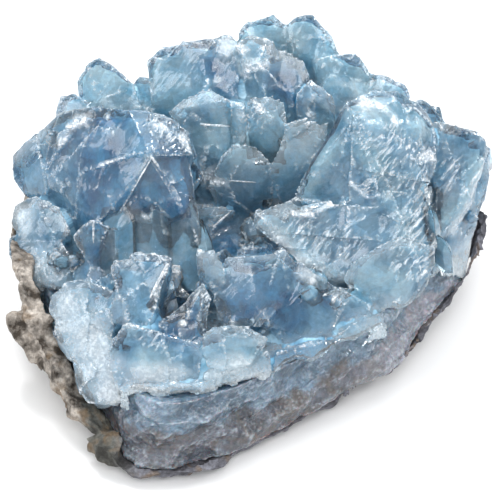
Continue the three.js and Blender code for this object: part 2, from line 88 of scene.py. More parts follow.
def remeshed(mesh, name, voxel):
    """One closed object with even faces of about a voxel, over all the solids in a bmesh."""
    data = bpy.data.meshes.new(name + "_start")
    mesh.to_mesh(data)
    mesh.free()
    thing = bpy.data.objects.new(name, data)
    bpy.context.scene.collection.objects.link(thing)
    remesh = thing.modifiers.new("remesh", "REMESH")
    remesh.mode = "VOXEL"
    remesh.voxel_size = voxel
    applied(thing)
    return thing


def applied(thing):
    """Applies an object's modifiers, and drops faces that came out folded to nothing."""
    done = bpy.data.meshes.new_from_object(thing.evaluated_get(bpy.context.evaluated_depsgraph_get()))
    old = thing.data
    thing.modifiers.clear()
    done.validate()
    thing.data = done
    bpy.data.meshes.remove(old)
    done.name = thing.name


def points_of(thing):
    """An object's points and the outward normals there."""
    count = len(thing.data.vertices)
    points, normals = np.empty(count * 3), np.empty(count * 3)
    thing.data.vertices.foreach_get("co", points)
    thing.data.vertices.foreach_get("normal", normals)
    return points.reshape(-1, 3), normals.reshape(-1, 3)


def set_points(thing, points):
    """Puts an object's points at new places, no further out than the box of the whole piece."""
    inside = np.clip(points, BOX_LOW, BOX_HIGH)
    thing.data.vertices.foreach_set("co", inside.ravel())
    thing.data.update()


def swell(points, size, octaves=2):
    """Smooth noise of a size at points, from about -1 to 1."""
    return np.array([noise.fractal(p, 1.0, 2.0, octaves) for p in (points / size).tolist()])


def cells_around(points, size, stretch):
    """Goes through the random cells next to points. Gives the points' offsets from each cell's middle, and
    four random numbers of the cell, which are the same in every run."""
    place = points / (size * np.array(stretch))
    corner = np.floor(place)
    for step in np.ndindex(3, 3, 3):
        cell = corner + np.array(step) - 1
        key = cell @ np.array([127.1, 311.7, 74.7])
        random = np.modf(np.abs(np.sin(key[:, None] + 19.7 * np.arange(7)) * 43758.5453))[0]
        yield place - cell - random[:, :3], random[:, 3:]


def chips(points, size, stretch=(1, 1, 1)):
    """Flat chips of a size at random tilts, from about -1 to 1, with a step where two of them meet."""
    best, height = np.full(len(points), 9.0), np.zeros(len(points))
    for away, chance in cells_around(points, size, stretch):
        distance = np.linalg.norm(away, axis=1)
        tilted = np.sum(away * (chance[:, :3] * 2 - 1), axis=1) * 1.2 + (chance[:, 3] - 0.5) * 0.6
        height = np.where(distance < best, tilted, height)
        best = np.minimum(best, distance)
    return height


def grains(points, size, stretch=(1, 1, 1)):
    """Round grains of a size, from 0 between them to 1 on top."""
    best = np.full(len(points), 9.0)
    for away, _ in cells_around(points, size, stretch):
        best = np.minimum(best, np.sum(away ** 2, axis=1))
    return np.clip(1 - best * 1.4, 0, 1)


TURNS = np.array([Euler((2.4 * k, 1.7 * k, 0.9 * k)).to_matrix() for k in range(16)])


def facets(points, size, stretch=(1, 1, 1)):
    """Crystal points of a size, with flat sides at random turns, from 0 between them to 1 at the tips."""
    best = np.full(len(points), 9.0)
    for away, chance in cells_around(points, size, stretch):
        turned = np.abs(np.einsum("nij,nj->ni", TURNS[(chance[:, 0] * len(TURNS)).astype(int)], away))
        best = np.minimum(best, np.max(turned * (1, 1, 0.7), axis=1))
    return np.clip(1 - best * 1.3, 0, 1)


# From each relief about its middle is taken off, so that the rock swells out by as much as it is pitted.
rock = remeshed(copy_of("host_rock"), "host_rock_rind", ROCK_VOXEL)
points, normals = points_of(rock)
relief = ROCK_LUMP_HEIGHT * (swell(points, ROCK_LUMP) - 0.3)
relief += ROCK_CHIP_HEIGHT * (facets(points, ROCK_CHIP) - 0.5)
relief += ROCK_GRIT_HEIGHT * (grains(points, ROCK_GRIT) - 0.6)
relief *= np.clip((points[:, 2] - ROCK_REST) / ROCK_REST_FADE, 0, 1)
set_points(rock, points + normals * relief[:, None])


def linear(code):
    """An sRGB hex colour as linear red, green, blue and alpha."""
    shares = [int(code[at:at + 2], 16) / 255 for at in (1, 3, 5)]
    return [s / 12.92 if s <= 0.04045 else ((s + 0.055) / 1.055) ** 2.4 for s in shares] + [1.0]


def add(tree, kind, inputs, output=0, **settings):
    """Adds a node and gives one of its outputs. Each input is a value, a colour code or another output.
    A colour mix has its share at input 0, its two colours at 6 and 7, and the mixed colour at output 2."""
    made = tree.nodes.new("ShaderNode" + kind)
    for name, value in settings.items():
        setattr(made, name, value)
    for name, value in inputs.items():
        if isinstance(value, bpy.types.NodeSocket):
            tree.links.new(value, made.inputs[name])
        else:
            made.inputs[name].default_value = linear(value) if isinstance(value, str) else value
    return made.outputs[output] if made.outputs else None


def new_material(name):
    """An empty material, its node tree, and places on the piece in millimetres."""
    material = bpy.data.materials.new(name)
    material.use_nodes = True
    tree = material.node_tree
    tree.nodes.clear()
    metres = add(tree, "TexCoord", {}, "Object")
    return material, tree, add(tree, "VectorMath", {0: metres, "Scale": 1 / MM}, operation="SCALE")


def mottled(tree, colour, pattern, spread, brightness):
    """A colour that a pattern darkens and lightens: over its spread, from one brightness to another."""
    shade = add(tree, "MapRange", {
        "Value": pattern, "From Min": spread[0], "From Max": spread[1],
        "To Min": brightness[0], "To Max": brightness[1],
    })
    return add(tree, "VectorMath", {0: colour, "Scale": shade}, operation="SCALE")


# Marly limestone that lay in soil: matt and dusty, in earthy brown at the left, olive grey on the knob and
# smoky grey along the front, with brown stains. Its grains are finer than a tenth of a millimetre, too fine
# to show, so they are drawn as wide as ROCK_GRAIN.
limestone, tree, place = new_material("weathered_marly_limestone")
across = add(tree, "SeparateXYZ", {0: place}, "X")
blotch = add(tree, "TexNoise", {"Vector": place, "Scale": 1 / ROCK_BLOTCH, "Detail": 5, "Roughness": 0.6})
stain = add(tree, "TexNoise", {"Vector": place, "Scale": 1 / ROCK_BLOTCH, "Detail": 4, "Distortion": 0.6})
grit = add(tree, "TexNoise", {"Vector": place, "Scale": 1 / ROCK_GRAIN, "Detail": 6, "Roughness": 0.7})
earthy = add(tree, "MapRange", {"Value": blotch, "From Min": 0.38, "From Max": 0.6})
earth = add(tree, "Mix", {0: earthy, 6: "#352d25", 7: "#bdb4aa"}, 2, data_type="RGBA")
olive = add(tree, "Mix", {0: earthy, 6: "#302f2b", 7: "#686862"}, 2, data_type="RGBA")
smoky = add(tree, "Mix", {0: earthy, 6: "#45444a", 7: "#7f8089"}, 2, data_type="RGBA")
knob = add(tree, "MapRange", {
    "Value": across, "From Min": BROWN_TO_OLIVE[0], "From Max": BROWN_TO_OLIVE[1],
})
colour = add(tree, "Mix", {0: knob, 6: earth, 7: olive}, 2, data_type="RGBA")
fronts = add(tree, "MapRange", {
    "Value": across, "From Min": OLIVE_TO_SMOKY[0], "From Max": OLIVE_TO_SMOKY[1],
})
colour = add(tree, "Mix", {0: fronts, 6: colour, 7: smoky}, 2, data_type="RGBA")
stained = add(tree, "MapRange", {"Value": stain, "From Min": 0.52, "From Max": 0.66, "To Max": 0.75})
colour = add(tree, "Mix", {0: stained, 6: colour, 7: "#6b573f"}, 2, data_type="RGBA")
colour = mottled(tree, colour, grit, (0.3, 0.65), (0.45, 1.25))
rough = add(tree, "Bump", {"Strength": 0.8, "Distance": ROCK_GRAIN_DEPTH * MM, "Height": grit})
stone = add(tree, "BsdfPrincipled", {"Base Color": colour, "Roughness": 0.88, "Normal": rough})
add(tree, "OutputMaterial", {"Surface": stone})


def finished(thing, material, slot, *nodes):
    """Shrinks a piece to metres and makes it stand for its CAD nodes."""
    thing.data.transform(Matrix.Scale(MM, 4))
    thing.data.materials.clear()
    thing.data.materials.append(material)
    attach(thing, "root")
    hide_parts(*nodes)


finished(rock, limestone, "host_rock", "host_rock")

# --------------------------------------------------------------------------------------- granular bed
# The bed is fine-grained celestite, the first that grew in the geode, right on the rock. It is broken
# across at the front, in shell-shaped scoops and blocks of grains that are grown together.

# The bed's mesh: sizes of its patterns, and how high or deep each is.
BED_VOXEL = 0.45
BED_SCOOP = 12.0
BED_SCOOP_DEPTH = 2.4
BED_BLOCK = 4.5
BED_BLOCK_HEIGHT = 1.3
BED_CRYSTAL = 1.8
BED_CRYSTAL_HEIGHT = 0.35
BED_LEDGE = 5.0
BED_EDGE = 0.05
EDGE_CONTRAST = 8
# The bed's material: sizes of its patterns, and the heights and places where its colour changes.
BED_PATCH = 6.0
BED_STAIN = 5.0
BED_STREAK = 0.8
BED_STREAK_WAY = (0.8, 0, 0.6)
BED_GRIT = 1.2
BED_GRAIN = 0.7
BED_GRAIN_DEPTH = 0.3
BED_UPPER_LAYER = (15.5, 17.0)
BED_LAYER_WAVE = 12.0
BED_PALE_RIM = (16, 34)
BED_GLOW_DEPTH = 1.0
CELESTITE_IOR = 1.62

bed = remeshed(copy_of("granular_bed"), "granular_celestite", BED_VOXEL)
points, normals = points_of(bed)
relief = -BED_SCOOP_DEPTH * (grains(points, BED_SCOOP, (1.3, 1.3, 0.7)) - 0.45)
relief += BED_BLOCK_HEIGHT * (facets(points, BED_BLOCK, (1.4, 1.4, 0.9)) - 0.5)
relief += BED_CRYSTAL_HEIGHT * (facets(points, BED_CRYSTAL) - 0.4)

# The crust lies on the bed like a lid. Close under it the bed isn't scooped out, so no gap opens there.
lid = copy_of("crystal_crust")
lid_walls = BVHTree.FromBMesh(lid)
lid.free()
under = np.array([lid_walls.find_nearest(point)[3] for point in points.tolist()])
relief = np.where(relief < 0, relief * np.clip(under / BED_LEDGE, 0, 1), relief)
set_points(bed, points + normals * relief[:, None])


def convexity(thing):
    """How far each point of a mesh stands out from its neighbours, as the sine of the slope to them."""
    points, normals = points_of(thing)
    ends = np.empty(len(thing.data.edges) * 2, int)
    thing.data.edges.foreach_get("vertices", ends)
    sums, counts = np.zeros(len(points)), np.zeros(len(points))
    for one, other in ((ends[::2], ends[1::2]), (ends[1::2], ends[::2])):
        way = points[other] - points[one]
        slope = -np.sum(way * normals[one], axis=1) / np.maximum(np.linalg.norm(way, axis=1), 1e-9)
        np.add.at(sums, one, slope)
        np.add.at(counts, one, 1)
    return sums / np.maximum(counts, 1)


def keep_shares(thing, **shares):
    """Stores numbers for each point, for the material to read."""
    for name, values in shares.items():
        kept = thing.data.attributes.new(name, "FLOAT", "POINT")
        kept.data.foreach_set("value", np.asarray(values, np.float32))


# The ridge share marks the bed's convex edges, which its material lightens as painted highlight.
keep_shares(bed, ridge=np.clip((convexity(bed) - BED_EDGE) * EDGE_CONTRAST, 0, 1))
seam = BVHTree.FromPolygons(points_of(bed)[0].tolist(), [face.vertices for face in bed.data.polygons])


def drawn_out(tree, place, way, share):
    """Places pressed together along a way by a share, so a pattern on them is drawn out into streaks."""
    along = add(tree, "VectorMath", {0: place, 1: way}, 1, operation="DOT_PRODUCT")
    along = add(tree, "Math", {0: along, 1: -share}, operation="MULTIPLY")
    pressed = add(tree, "VectorMath", {0: way, "Scale": along}, operation="SCALE")
    return add(tree, "VectorMath", {0: place, 1: pressed}, operation="ADD")


# Granular celestite, freshly broken: it looks like wet sugar, because light goes a millimetre into it and
# each grain has its own tone. It is blue grey with pale veins above, and smoky lavender grey with brown
# stains below, paler at the right rim. Cracks are finer than a hair, too fine to show, so their streaks are
# drawn as wide as BED_STREAK.
sugar, tree, place = new_material("granular_celestite")
across = add(tree, "SeparateXYZ", {0: place}, "X")
height = add(tree, "SeparateXYZ", {0: place}, "Z")
patch = add(tree, "TexNoise", {"Vector": place, "Scale": 1 / BED_PATCH, "Detail": 5, "Roughness": 0.65})
stain = add(tree, "TexNoise", {"Vector": place, "Scale": 1 / BED_STAIN, "Detail": 4, "Distortion": 0.8})
drawn = drawn_out(tree, place, BED_STREAK_WAY, 0.85)
streak = add(tree, "TexNoise", {"Vector": drawn, "Scale": 1 / BED_STREAK, "Detail": 4, "Roughness": 0.7})
streak = add(tree, "MapRange", {"Value": streak, "From Min": 0.5, "From Max": 0.68})
grit = add(tree, "TexNoise", {"Vector": place, "Scale": 1 / BED_GRIT, "Detail": 4, "Roughness": 0.7})
grain = add(tree, "TexVoronoi", {"Vector": place, "Scale": 1 / BED_GRAIN})
grain_colour = add(tree, "TexVoronoi", {"Vector": place, "Scale": 1 / BED_GRAIN}, "Color")
wavy = add(tree, "Math", {0: patch, 1: BED_LAYER_WAVE, 2: height}, operation="MULTIPLY_ADD")
upper = add(tree, "MapRange", {
    "Value": wavy, "From Min": BED_UPPER_LAYER[0], "From Max": BED_UPPER_LAYER[1],
})
patched = add(tree, "MapRange", {"Value": patch, "From Min": 0.35, "From Max": 0.65})
low = add(tree, "Mix", {0: patched, 6: "#383b43", 7: "#696d77"}, 2, data_type="RGBA")
stained = add(tree, "Math", {0: across, 1: 0.002, 2: stain}, operation="MULTIPLY_ADD")
stained = add(tree, "MapRange", {"Value": stained, "From Min": 0.5, "From Max": 0.62, "To Max": 0.75})
low = add(tree, "Mix", {0: stained, 6: low, 7: "#5a5450"}, 2, data_type="RGBA")
rim = add(tree, "MapRange", {
    "Value": across, "From Min": BED_PALE_RIM[0], "From Max": BED_PALE_RIM[1], "To Max": 0.6,
})
low = add(tree, "Mix", {0: rim, 6: low, 7: "#a3a6b2"}, 2, data_type="RGBA")
high = add(tree, "Mix", {0: patched, 6: "#33485a", 7: "#667c8e"}, 2, data_type="RGBA")
colour = add(tree, "Mix", {0: upper, 6: low, 7: high}, 2, data_type="RGBA")
vein = add(tree, "Math", {0: stain, 1: 0.47, 2: 0.012}, operation="COMPARE")
# Pale veins and streaks are the bed's own; the lightening of its convex edges is painted highlight.
ridge = add(tree, "Attribute", {}, "Fac", attribute_name="ridge")
light = add(tree, "Math", {0: vein, 1: 0.3, 2: ridge}, operation="MULTIPLY_ADD", use_clamp=True)
light = add(tree, "Math", {0: light, 1: 0.35}, operation="MULTIPLY")
streak = add(tree, "Math", {0: streak, 1: upper}, operation="MULTIPLY")
light = add(tree, "Math", {0: streak, 1: 0.3, 2: light}, operation="MULTIPLY_ADD")
colour = add(tree, "Mix", {0: light, 6: colour, 7: "#c2ccd6"}, 2, data_type="RGBA")
colour = mottled(tree, colour, grit, (0.3, 0.7), (0.7, 1.25))
tone = add(tree, "SeparateColor", {0: grain_colour})
colour = mottled(tree, colour, tone, (0, 1), (0.84, 1.14))
rough = add(tree, "Bump", {"Strength": 0.6, "Distance": BED_GRAIN_DEPTH * MM, "Height": grain})
wet = add(tree, "BsdfPrincipled", {
    "Base Color": colour, "Roughness": 0.35, "Normal": rough, "IOR": CELESTITE_IOR,
    "Subsurface Weight": 0.5, "Subsurface Scale": BED_GLOW_DEPTH * MM,
})
add(tree, "OutputMaterial", {"Surface": wet})
finished(bed, sugar, "granular_celestite", "granular_bed")

# --------------------------------------------------------------------------------------- crystal crust
# Celestite crystals, grown together into one crust on the bed. Most of their faces are broken across in
# steps, chips and splinters, and the crust's lower edge is torn off ragged.

# The crust's mesh: sizes of its patterns, and how high each stands.
CRUST_VOXEL = 0.38
CRUST_FACES = 195000
CRUST_BREAK = 9.0
CRUST_BREAK_HEIGHT = 1.5
CRUST_CHIP = 6.0
CRUST_CHIP_HEIGHT = 0.5
CRUST_LONG = (1, 1, 1.8)
CRUST_SPLINTER = 1.3
CRUST_SPLINTER_HEIGHT = 0.16
CRUST_LUMP = 4.0
CRUST_LUMP_HEIGHT = 0.6
CRUST_GRAIN = 1.6
CRUST_GRAIN_HEIGHT = 0.2
CRUST_CRACK = 1.2
CRUST_CRACK_HEIGHT = 0.5
CRUST_HANG = 7.0
CRUST_HANG_HEIGHT = 2.8
CRUST_HANG_CHIP = 3.0
CRUST_HANG_CHIP_HEIGHT = 0.4
CRUST_FOOT = 3.5
CRUST_THIN = 2.4
CRUST_EDGE = 0.07
CRUST_SHARP_ANGLE = 14
# The crust's material: sizes of its patterns, and how much blue a metre of it takes on.
CRUST_CLOUD = 9.0
CRUST_WARP = 8.0
CRUST_PLANE = 5.0
CRUST_SPECKLE = 0.6
CRUST_STREAK = 0.6
CRUST_FLAKE = 0.4
CRUST_BLUE_DENSITY = 80.0
# Which way the splinters and streaks run.
STREAK = Vector((0.62, 0.5, 0.6)).normalized()
STREAKS = np.array(STREAK.to_track_quat("Z", "Y").to_matrix())
RAGGED = 3.5
UNDER_SKIN = 0.2
NO_FAR_SIDE = 1.0

# Places on the crust: a middle or two ends, and a radius. In the sugary ones it is white and grainy.
SUGARY = [
    ((-33, -18, 22), 7), ((-30, -22, 20), 7), ((-27, -27, 18), 6), ((-25.5, -30, 15), 5),
    ((-43, 7, 24), 4), ((-41, -2, 20), 4), ((-20, -30, 19), (-14, -30, 19), 3),
    ((-7, -30, 20), (-2, -29.5, 21), 3.5), ((-2.3, 21, 39), (-2.1, 19.6, 33), 1.6),
    ((1.8, -1.8, 30.7), (8.7, -5.4, 24.4), 2.2), ((8.7, -5.4, 24.4), (15.9, -7.4, 21.2), 2.2),
    ((9, -13, 28), (12, -13, 27), 2), ((-5.2, 31.8, 45.6), 3), ((38, 5, 22), (43, 13, 32), 2),
]
# Hackly breaks, with splinters and white streaks. The streaks are partly crushed celestite and partly
# painted sparkle.
HACKLY = [
    ((20, 6, 46), (24.4, 3, 38.9), 3.5), ((24, 5, 45), (32, 5.6, 40.5), 4), ((31, 1, 34), (29, -7, 26), 5),
    ((21, 3, 36), (31, 2.7, 37), 3.5), ((9, -2, 29), (17, -4, 27), 4), ((-11, -3, 26), (-8, -20, 28), 3.5),
    ((-18, -26, 25), 4), ((2, -24, 23), 5), ((0.5, 21.7, 40.7), (1.8, 20.2, 36.5), 2.6),
    ((-19, 8.4, 46), (-11.5, 7, 41), 2.5), ((37, 9, 35), (34, -2, 27), 3.5),
]
# Cracked spots, painted white as glints on their crumpled relief.
GLINTS = [
    ((-34.4, 13, 41.3), (-31.8, 12.4, 43), 1.1), ((-26.9, 11, 45.4), 0.8),
    ((-8.4, 17.5, 24.8), (-5.6, 15.5, 26), 1.6), ((20.5, 12.6, 48.4), (23.5, 10.5, 48.4), 1.8),
    ((-2.5, 28, 43.5), (2, 27.5, 44.5), 1.8), ((11, 21.3, 37.4), 1.3),
    ((7.5, -0.2, 31.5), (11.5, -0.4, 31.3), 0.9), ((31, 5, 40.5), (33.3, 7.2, 40), 1.2),
    ((1.3, 21, 39.3), 1.3), ((-19, -17, 35.4), 0.8), ((13.5, 6, 42), 0.7), ((-12.5, -23, 25), 0.9),
    ((15, -15, 23.5), 0.8),
]
# Edges painted white, as painted highlights where they catch the light.
HIGHLIGHT_LINES = [
    ((-37.9, 10.9, 34.9), (-34.7, 11.7, 39.6), 0.5), ((-35, 9.6, 36.6), (-30.9, 10.3, 41.5), 0.5),
    ((-28.4, 5.2, 38.2), (-22.3, 3.2, 42.5), 0.5), ((-36.1, 9.8, 35.6), (-32.1, 6.1, 35.1), 0.8),
    ((-36.8, 5.5, 28.6), (-34, 4.6, 25.8), 0.6), ((-19.2, 8.4, 45.9), (-14.4, 8.3, 44.3), 0.5),
    ((-14.4, 8.3, 44.3), (-11.5, 6.7, 40.6), 0.5), ((17, -10, 22.7), (21.6, -13.1, 19.3), 0.5),
    ((21.6, -13.1, 19.3), (27.3, -9.7, 18.3), 0.5), ((27.3, -9.7, 18.3), (31.9, -7.2, 23.6), 0.5),
    ((34.2, -2.3, 26.6), (42.6, 11.3, 32.2), 0.6), ((33, 7.4, 39.9), (40.6, 13, 38), 0.6),
    ((18, 3, 36), (28, -3, 30.5), 0.45), ((10.7, -0.5, 31), (18, 3, 34.5), 0.45),
]
# Where the crystals are at their bluest, and their cores are blue.
BLUE = [
    ((-28, 5, 37), (-24, -1, 29), 11), ((-14, 4, 40), (-14, -1, 27), 9), ((-29, -4, 25), (-27, -11, 24), 5),
    ((-13, -10, 22), (-12, -25, 23), 8), ((6.5, 27, 43.5), (9.5, 23, 39), 6),
    ((-7, 29, 43), (-4.5, 26, 39.5), 3.5), ((-10, 22, 37), (-12, 22, 36), 3),
    ((-5, 5, 18), (2, 9, 19), 9), ((7, 10, 34), (9, 12, 28), 3.5), ((5, -25, 18), (14, -22, 17), 4),
    ((13, -15, 24), 4), ((38, 9, 32), (35, 0, 25), 3), ((-3, -20, 26), (6, -18, 25), 7),
    ((-38, 10, 36), (-26, 12, 45), 5),
]
# Faces that are whole, or broken off in one smooth plane.
SMOOTH = [
    ((10, 5, 35.5), 8), ((14, 5.6, 41), 6), ((-28, 7, 39), (-24, -1, 29), 7), ((-30, 3, 32), 6),
    ((19, -11, 22.5), (23.6, -10, 20), 5), ((-15.7, 25.7, 40), (-21, 27, 40), 6), ((14, 27, 41.5), 5),
    ((-7, 29, 43), (-4.5, 26, 39.5), 2.5), ((5, 17, 35), 3), ((24, 10, 47), (31, 9, 44), 3),
    ((-5, -18, 28.6), (12.3, -18, 21), 6), ((6.5, 27, 43.5), (9.5, 23, 39), 5),
]
# Steps in the broken faces: two ends, a depth, and how far from the edge the lower side comes up again.
STEPS = [
    ((-24, 0, 33.1), (-18.4, 1.3, 43.7), 1.0, 9), ((-18.4, 1.3, 43.7), (-12, 5.5, 40.5), 0.8, 8),
    ((-28.4, 5.2, 38.2), (-22.3, 3.2, 42.5), 0.6, 6), ((-37.9, 10.9, 34.9), (-34.7, 11.7, 39.6), 0.7, 3),
    ((-30.9, 10.3, 41.5), (-35, 9.6, 36.6), 0.7, 3), ((17.9, 4.8, 42.7), (17.2, 0.3, 33.1), 0.9, 8),
    ((17.2, 0.3, 33.1), (7.3, 4.1, 31.5), 0.7, 7), ((24.4, 2.7, 38.3), (32.7, 2.7, 36.4), 0.9, 7),
    ((28.2, -1.9, 30.1), (24.4, 2.7, 38.3), 0.5, 5), ((8.8, -2.6, 28.2), (19.9, -3.4, 27.7), 0.7, 5),
]


def near(points, places, ragged=0.35):
    """How near points are to places, from 0 outside their radius to 1 well inside it, with ragged edges."""
    uneven = 1 + ragged * swell(points, RAGGED)
    share = np.zeros(len(points))
    for place in places:
        start, way = np.array(place[0]), np.array(place[-2]) - place[0]
        along = np.clip((points - start) @ way / max(way @ way, 1e-9), 0, 1)
        away = np.linalg.norm(points - start - along[:, None] * way, axis=1) / place[-1] * uneven
        share = np.maximum(share, np.clip(1.6 - 1.6 * away, 0, 1))
    return share


def stepped(points, normals):
    """How deep points lie under the broken steps. The lower side of a step is on the right of the way from
    its first end to the other."""
    deep = np.zeros(len(points))
    for start, end, depth, reach in STEPS:
        way = np.array(end) - start
        along = np.clip((points - start) @ way / (way @ way), 0, 1)
        offset = points - start - along[:, None] * way
        right = np.sum(np.cross(way, normals) * offset, axis=1) > 0
        deep += right * depth * np.clip(1 - np.linalg.norm(offset, axis=1) / reach, 0, 1)
    return deep


def thickness(points, normals, solid):
    """How far it is from just under each point straight in to the other side of a solid."""
    deep = []
    for point, normal in zip(points.tolist(), normals.tolist()):
        inward = -Vector(normal)
        far = solid.ray_cast(Vector(point) + UNDER_SKIN * inward, inward)[3]
        deep.append(far if far is not None else NO_FAR_SIDE)
    return np.array(deep)


def fading(away, reach):
    """A share that is 1 up to 0.4 times a reach away, and fades to 0 at 1.4 times the reach."""
    return np.clip(1.4 - away / reach, 0, 1)


def at_foot(points):
    """How near points are to the granular bed, from 0 well above it to 1 on it."""
    return fading(np.array([seam.find_nearest(point)[3] for point in points.tolist()]), CRUST_FOOT)


# The crust's lower edge is pulled up and down in waves and chips, so that it is ragged.
crust = remeshed(copy_of("crystal_crust"), "celestite_crystals", CRUST_VOXEL)
points, normals = points_of(crust)
solid = BVHTree.FromPolygons(points.tolist(), [face.vertices for face in crust.data.polygons])
border = at_foot(points) * (np.abs(normals[:, 2]) < 0.8)
hanging = CRUST_HANG_HEIGHT * swell(points, CRUST_HANG)
hanging = border * (hanging + CRUST_HANG_CHIP_HEIGHT * chips(points, CRUST_HANG_CHIP) - 0.3)
smooth = near(points, SMOOTH)
sugary = near(points, SUGARY)
hackly = near(points, HACKLY)
broken = np.clip(0.9 + 0.6 * swell(points, 14), 0.5, 1.2) * (1 - 0.85 * smooth)
relief = CRUST_BREAK_HEIGHT * broken * (facets(points, CRUST_BREAK, CRUST_LONG) - 0.45)
relief += CRUST_CHIP_HEIGHT * broken * (chips(points, CRUST_CHIP, CRUST_LONG) - 0.2)
relief += CRUST_SPLINTER_HEIGHT * hackly * (chips(points @ STREAKS, CRUST_SPLINTER, (1, 1, 5)) - 0.2)
sugar_relief = CRUST_LUMP_HEIGHT * sugary * (grains(points, CRUST_LUMP) - 0.4)
relief += sugar_relief + CRUST_GRAIN_HEIGHT * sugary * (grains(points, CRUST_GRAIN) - 0.4)
relief += CRUST_CRACK_HEIGHT * near(points, GLINTS) * chips(points, CRUST_CRACK)
relief += 0.3 * border * (hanging < 0) - stepped(points, normals)
relief = np.maximum(relief, -0.3 * thickness(points, normals, solid))
set_points(crust, points + normals * relief[:, None] + hanging[:, None] * (0, 0, 1))

# The fine mesh is kept: the cores are made from it, and the last crystals are seated on it. The crust
# itself then gets fewer faces. Its foot and thin parts are made partly milky, because no core fits there.
seat_points, seat_normals = points_of(crust)
start = bmesh.new()
start.from_mesh(crust.data)
around = BVHTree.FromBMesh(start)
fewer = crust.modifiers.new("fewer", "DECIMATE")
fewer.ratio = min(1.0, CRUST_FACES / (2 * len(crust.data.polygons)))
applied(crust)
points, normals = points_of(crust)
foot = at_foot(points)
thin = fading(thickness(points, normals, around), CRUST_THIN)
pale = np.maximum(0.8 * foot, 0.5 * thin) * (1 - 0.6 * near(points, BLUE))
# The ridge share whitens convex edges, partly as crushed celestite and partly as painted highlight.
keep_shares(
    crust, sugary=np.maximum(near(points, SUGARY), pale), hackly=near(points, HACKLY),
    ridge=np.clip((convexity(crust) - CRUST_EDGE) * EDGE_CONTRAST, 0, 1) * (1 - 0.7 * foot),
    glint=np.maximum(near(points, GLINTS, 1.0), near(points, HIGHLIGHT_LINES, 0.9)),
)
crust.data.polygons.foreach_set("use_smooth", np.ones(len(crust.data.polygons), bool))
crust.data.set_sharp_from_angle(angle=np.radians(CRUST_SHARP_ANGLE))

# Clear celestite: glassy, and blue by its depth, so that thin edges are almost white. Tiny cracks make it
# white and less clear in sugary places. On broken edges and in the streaks of hackly breaks the white is
# partly such cracks and partly painted highlight, and the glint spots and bright lines are painted white as
# highlights.
# Each flake of a break tilts its own way and sparkles. Cracks and flakes are some hundredths of a
# millimetre wide, too fine to show, so they are drawn as wide as CRUST_SPECKLE, CRUST_STREAK and
# CRUST_FLAKE.
celestite, tree, place = new_material("celestite_crystal")
sugary = add(tree, "Attribute", {}, "Fac", attribute_name="sugary")
hackly = add(tree, "Attribute", {}, "Fac", attribute_name="hackly")
ridge = add(tree, "Attribute", {}, "Fac", attribute_name="ridge")
glint = add(tree, "Attribute", {}, "Fac", attribute_name="glint")
cloud = add(tree, "TexNoise", {"Vector": place, "Scale": 1 / CRUST_CLOUD, "Detail": 5, "Roughness": 0.6})
warp = add(tree, "TexNoise", {"Vector": place, "Scale": 1 / CRUST_WARP, "Detail": 3}, "Color")
warped = add(tree, "VectorMath", {0: warp, 1: (3.0, 3.0, 3.0), 2: place}, operation="MULTIPLY_ADD")
drawn = drawn_out(tree, warped, STREAK, 0.9)
speckle = add(tree, "TexNoise", {
    "Vector": place, "Scale": 1 / CRUST_SPECKLE, "Detail": 3, "Roughness": 0.7,
})
speckle = add(tree, "MapRange", {"Value": speckle, "From Min": 0.48, "From Max": 0.6})
streak = add(tree, "TexNoise", {
    "Vector": drawn, "Scale": 1 / CRUST_STREAK, "Detail": 3, "Roughness": 0.7,
})
streak = add(tree, "MapRange", {"Value": streak, "From Min": 0.5, "From Max": 0.64})
plane = add(tree, "TexVoronoi", {"Vector": warped, "Scale": 1 / CRUST_PLANE}, "Color")
plane = add(tree, "SeparateColor", {0: plane})
# Convex edges made white: partly crushed celestite, partly painted highlight.
edges = add(tree, "Math", {0: speckle, 1: 0.6, 2: 0.2}, operation="MULTIPLY_ADD")
edges = add(tree, "Math", {0: ridge, 1: edges}, operation="MULTIPLY")
milk = add(tree, "Math", {0: speckle, 1: 0.2, 2: 0.35}, operation="MULTIPLY_ADD")
milk = add(tree, "Math", {0: sugary, 1: milk}, operation="MULTIPLY")
# The white streaks of hackly breaks: partly crushed celestite, partly painted sparkle.
splinter_white_and_sparkle = add(tree, "Math", {0: hackly, 1: streak}, operation="MULTIPLY")
splinter_white_and_sparkle = add(tree, "Math", {0: splinter_white_and_sparkle, 1: 0.75}, operation="MULTIPLY")
white = add(tree, "Math", {0: edges, 1: milk}, operation="MAXIMUM")
white = add(tree, "Math", {0: white, 1: splinter_white_and_sparkle}, operation="MAXIMUM")
# Painted highlight: the glint spots and bright lines are made white.
glinting = add(tree, "Math", {0: speckle, 1: 0.6, 2: 0.5}, operation="MULTIPLY_ADD")
glinting = add(tree, "Math", {0: glint, 1: glinting}, operation="MULTIPLY", use_clamp=True)
white = add(tree, "Math", {0: white, 1: glinting}, operation="MAXIMUM")
clouded = add(tree, "MapRange", {"Value": cloud, "From Min": 0.35, "From Max": 0.65})
body = add(tree, "Mix", {0: clouded, 6: "#d2ebf6", 7: "#ebf5fa"}, 2, data_type="RGBA")
colour = add(tree, "Mix", {0: white, 6: body, 7: "#f3f4f7"}, 2, data_type="RGBA")
clear = add(tree, "MapRange", {"Value": plane, "To Min": 0.92, "To Max": 1.0})
clear = add(tree, "Math", {0: white, 1: -0.85, 2: clear}, operation="MULTIPLY_ADD", use_clamp=True)
rough = add(tree, "Math", {0: white, 1: 0.22, 2: 0.12}, operation="MULTIPLY_ADD")
flake = add(tree, "TexVoronoi", {"Vector": drawn, "Scale": 1 / CRUST_FLAKE}, "Color")
steep = add(tree, "Math", {0: hackly, 1: 0.6, 2: 0.12}, operation="MULTIPLY_ADD")
tilt = add(tree, "VectorMath", {0: flake, 1: (0.5, 0.5, 0.5)}, operation="SUBTRACT")
tilt = add(tree, "VectorMath", {0: tilt, "Scale": steep}, operation="SCALE")
